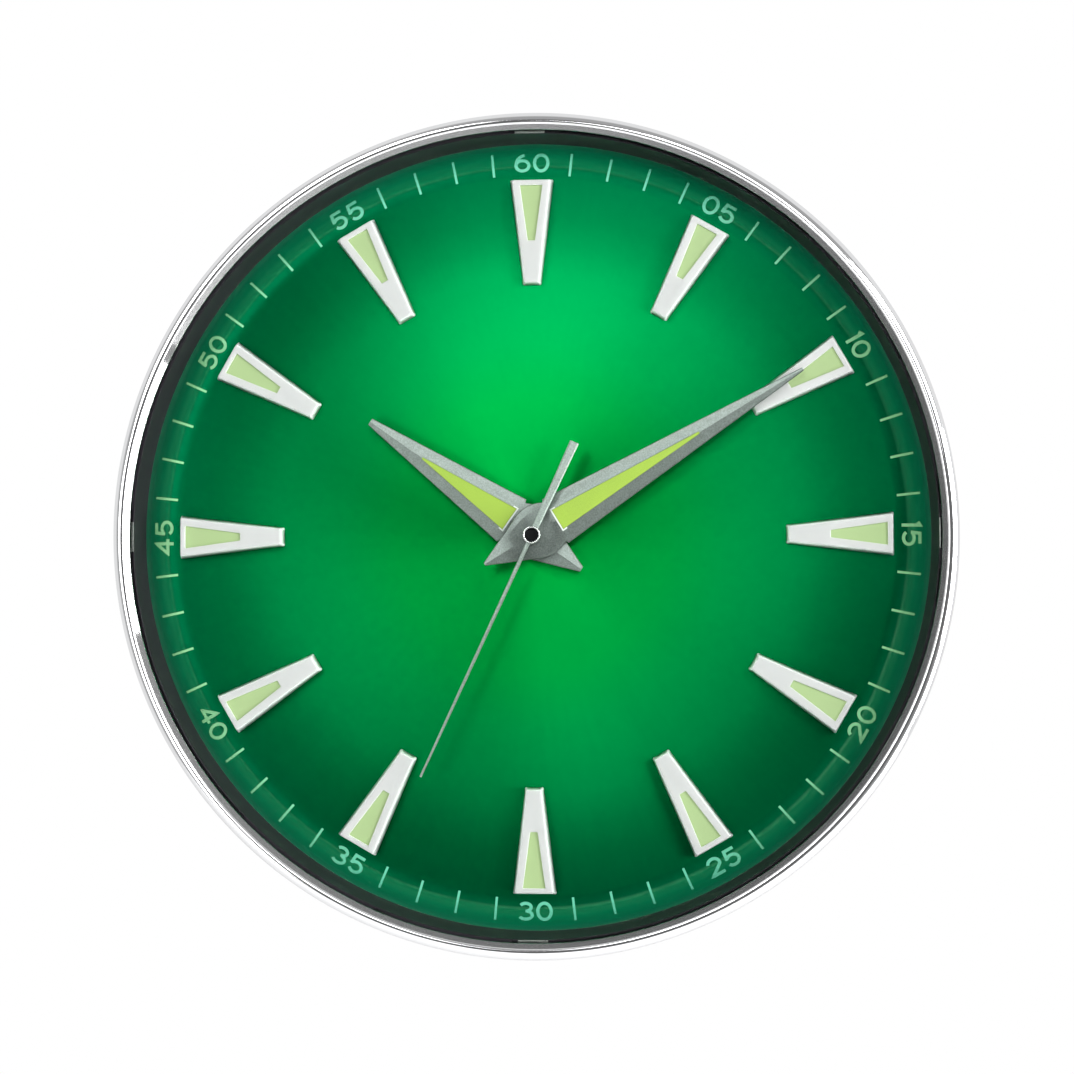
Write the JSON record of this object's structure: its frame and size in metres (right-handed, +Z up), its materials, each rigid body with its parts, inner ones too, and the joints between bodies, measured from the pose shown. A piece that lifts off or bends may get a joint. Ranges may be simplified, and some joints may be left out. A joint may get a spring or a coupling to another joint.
{
  "type": "wall clock",
  "caption": "Round quartz wall clock: chrome bezel, flat glass, green sunray dial, raised white hour blocks and kite-shaped hands over a battery movement.",
  "frame": {"origin": "on the hand axis, in the wall plane that the rear rim of the case touches", "axes": "+Y into the wall along the hand axis, +Z up to 12 o'clock, +X to 3 o'clock; the dial faces -Y"},
  "size_m": [0.3, 0.0416, 0.3],
  "materials": {
    "chrome": "mirror-polished chrome plating",
    "lens": "clear flat glass",
    "black_satin": "satin black moulding",
    "pad_white": "soft white",
    "seal_black": "soft rubber",
    "dial_green": "sunray-brushed sheet under green lacquer, darker to the rim",
    "case_black": "fine textured moulding",
    "zinc": "zinc plated",
    "marker_white": "satin white moulding",
    "lume_green": "pale green luminous fill",
    "hand_silver": "fine-grained silver",
    "lume_yellow": "yellow-green luminous fill",
    "movement_black": "moulded plastic",
    "brass": "turned brass",
    "cell_wrap": "wrapped dry cell",
    "contact": "nickel-plated strip",
    "board": "lacquered circuit board",
    "crystal_can": "drawn can",
    "epoxy": "epoxy drop",
    "stator": "soft iron sheet",
    "bobbin": "natural nylon",
    "copper": "enamelled copper wire",
    "gear_white": "moulded acetal",
    "steel": "ground steel",
    "magnet": "sintered magnet",
    "washer_steel": "spring steel"
  },
  "bodies": {
    "case": {"case_ring": "case_black", "back_plate": "case_black", "bezel_ring": "chrome", "lens_glass": "lens", "lens_gasket": "seal_black", "lens_pads": "pad_white", "dial_surround": "black_satin", "dial_plate": "dial_green", "case_screws": "zinc", "hour_marker_01": "marker_white", "hour_marker_02": "marker_white", "hour_marker_03": "marker_white", "hour_marker_04": "marker_white", "hour_marker_05": "marker_white", "hour_marker_06": "marker_white", "hour_marker_07": "marker_white", "hour_marker_08": "marker_white", "hour_marker_09": "marker_white", "hour_marker_10": "marker_white", "hour_marker_11": "marker_white", "hour_marker_12": "marker_white", "marker_inlays": "lume_green", "movement_housing": "movement_black", "movement_cover": "movement_black", "middle_plate": "brass", "centre_bushing": "brass", "movement_gasket": "seal_black", "centre_washer": "brass", "centre_nut": "brass", "battery_cell": "cell_wrap", "battery_contact_negative": "contact", "battery_contact_positive": "contact", "circuit_board": "board", "quartz_crystal": "crystal_can", "timer_chip": "epoxy", "stator_plate": "stator", "coil_bobbin": "bobbin", "coil_winding": "copper"},
    "seconds": {"seconds_wheel": "gear_white", "seconds_arbor": "steel", "second_hand": "hand_silver"},
    "intermediate": {"intermediate_wheel": "gear_white"},
    "rotor": {"rotor_pinion": "gear_white", "rotor_magnet": "magnet"},
    "third": {"third_wheel": "gear_white"},
    "centre": {"centre_wheel": "gear_white"},
    "minute": {"cannon_pinion": "brass", "minute_hand": "hand_silver", "minute_hand_inlay": "lume_yellow"},
    "motion_washer": {"motion_thrust_washer": "washer_steel"},
    "motion": {"motion_wheel": "gear_white"},
    "hour_washer": {"hour_spring_washer": "washer_steel"},
    "hour": {"hour_wheel": "gear_white", "hour_hand": "hand_silver", "hour_hand_inlay": "lume_yellow"},
    "setting_washer": {"setting_thrust_washer": "washer_steel"},
    "setting": {"setting_pinion": "gear_white", "setting_knob": "movement_black"}
  },
  "joints": [
    {"name": "second_spin", "type": "hinge", "parent": "case", "child": "seconds", "pos_m": [0, -0.018, 0], "axis": [0, 1, 0], "continuous": true},
    {"name": "intermediate_spin", "type": "hinge", "parent": "case", "child": "intermediate", "pos_m": [0.00707, -0.018, 0.00707], "axis": [0, 1, 0], "continuous": true},
    {"name": "rotor_spin", "type": "hinge", "parent": "case", "child": "rotor", "pos_m": [0.01582, -0.018, 0.00707], "axis": [0, 1, 0], "continuous": true},
    {"name": "third_spin", "type": "hinge", "parent": "case", "child": "third", "pos_m": [-0.00721, -0.018, 0.00721], "axis": [0, 1, 0], "continuous": true},
    {"name": "centre_spin", "type": "hinge", "parent": "case", "child": "centre", "pos_m": [0, -0.018, 0], "axis": [0, 1, 0], "continuous": true},
    {"name": "minute_set", "type": "hinge", "parent": "centre", "child": "minute", "pos_m": [0, -0.018, 0], "axis": [0, 1, 0], "continuous": true},
    {"name": "motion_washer_spin", "type": "hinge", "parent": "case", "child": "motion_washer", "pos_m": [-0.00849, -0.018, 0.00849], "axis": [0, 1, 0], "continuous": true},
    {"name": "motion_set", "type": "hinge", "parent": "motion_washer", "child": "motion", "pos_m": [-0.00849, -0.018, 0.00849], "axis": [0, 1, 0], "continuous": true},
    {"name": "hour_washer_spin", "type": "hinge", "parent": "case", "child": "hour_washer", "pos_m": [0, -0.018, 0], "axis": [0, 1, 0], "continuous": true},
    {"name": "hour_set", "type": "hinge", "parent": "hour_washer", "child": "hour", "pos_m": [0, -0.018, 0], "axis": [0, 1, 0], "continuous": true},
    {"name": "setting_washer_spin", "type": "hinge", "parent": "case", "child": "setting_washer", "pos_m": [-0.00249, -0.018, 0.01888], "axis": [0, 1, 0], "continuous": true},
    {"name": "knob_set", "type": "hinge", "parent": "setting_washer", "child": "setting", "pos_m": [-0.00249, -0.018, 0.01888], "axis": [0, 1, 0], "continuous": true}
  ],
  "couplings": [
    {"joint": "intermediate_spin", "follows": "second_spin", "ratio": -5},
    {"joint": "rotor_spin", "follows": "second_spin", "ratio": 30},
    {"joint": "third_spin", "follows": "second_spin", "ratio": -0.13333},
    {"joint": "centre_spin", "follows": "second_spin", "ratio": 0.016667},
    {"joint": "motion_washer_spin", "follows": "second_spin", "ratio": -0.0055556},
    {"joint": "hour_washer_spin", "follows": "second_spin", "ratio": 0.0013889},
    {"joint": "setting_washer_spin", "follows": "second_spin", "ratio": 0.016667},
    {"joint": "motion_set", "follows": "minute_set", "ratio": -0.33333},
    {"joint": "hour_set", "follows": "minute_set", "ratio": 0.083333},
    {"joint": "knob_set", "follows": "minute_set", "ratio": 1}
  ]
}
